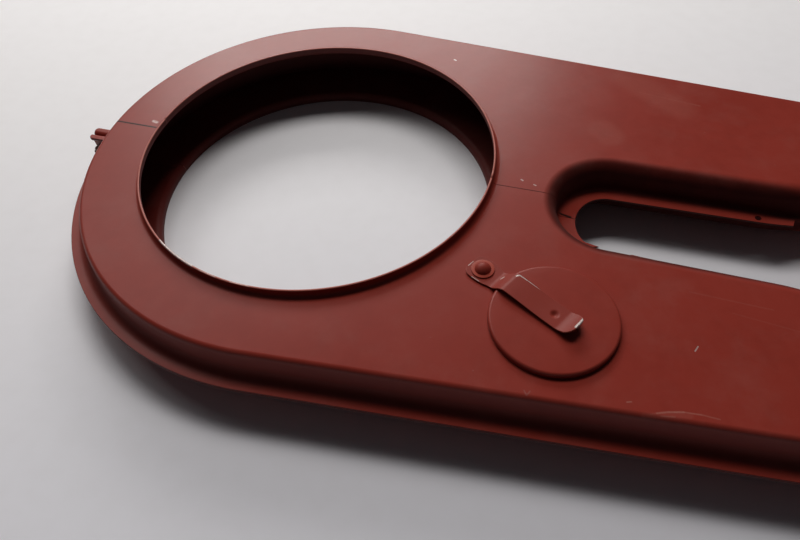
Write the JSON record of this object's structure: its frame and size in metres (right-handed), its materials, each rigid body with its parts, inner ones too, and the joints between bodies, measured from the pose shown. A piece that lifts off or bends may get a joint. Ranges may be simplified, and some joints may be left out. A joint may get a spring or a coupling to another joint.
{
  "type": "motorcycle chain guard",
  "caption": "Full motorcycle chain case: round hub opening with a turned lip, two arms round a slot, seam flange, and an inspection lid held by a swivelling spring clip.",
  "frame": {"origin": "on the axis of the hub opening, at the rim of the rear lip", "axes": "+Z along the hub axis out of the front face, +X along the case towards the front ends of the arms, +Y towards the upper half"},
  "size_m": [0.5445, 0.266, 0.0436],
  "materials": {
    "case_paint": "matt red-oxide primer",
    "lid_paint": "matt red-oxide primer",
    "clip_paint": "matt red-oxide primer, chipped on the edges",
    "bare_steel": "dull bare steel"
  },
  "bodies": {
    "case": {"upper_front_shell": "case_paint", "upper_rear_shell": "case_paint", "lower_front_shell": "case_paint", "lower_rear_shell": "case_paint", "inspection_lid": "lid_paint", "clip_rivet": "clip_paint", "rivet_washer": "bare_steel", "backing_washer": "case_paint", "upper_clamp_ear": "case_paint", "lower_clamp_ear": "case_paint", "clamp_screw": "bare_steel", "clamp_washer": "bare_steel", "clamp_nut": "bare_steel", "front_web_tongue": "case_paint", "rear_web_tongue": "case_paint", "upper_mount_pad": "case_paint", "lower_mount_pad": "case_paint"},
    "clip": {"spring_clip": "clip_paint"}
  },
  "joints": [
    {"name": "clip_swivel", "type": "hinge", "parent": "case", "child": "clip", "pos_m": [0.09987, -0.05559, 0.0357], "axis": [0, 0, 1], "range_deg": [-100, 80]}
  ]
}
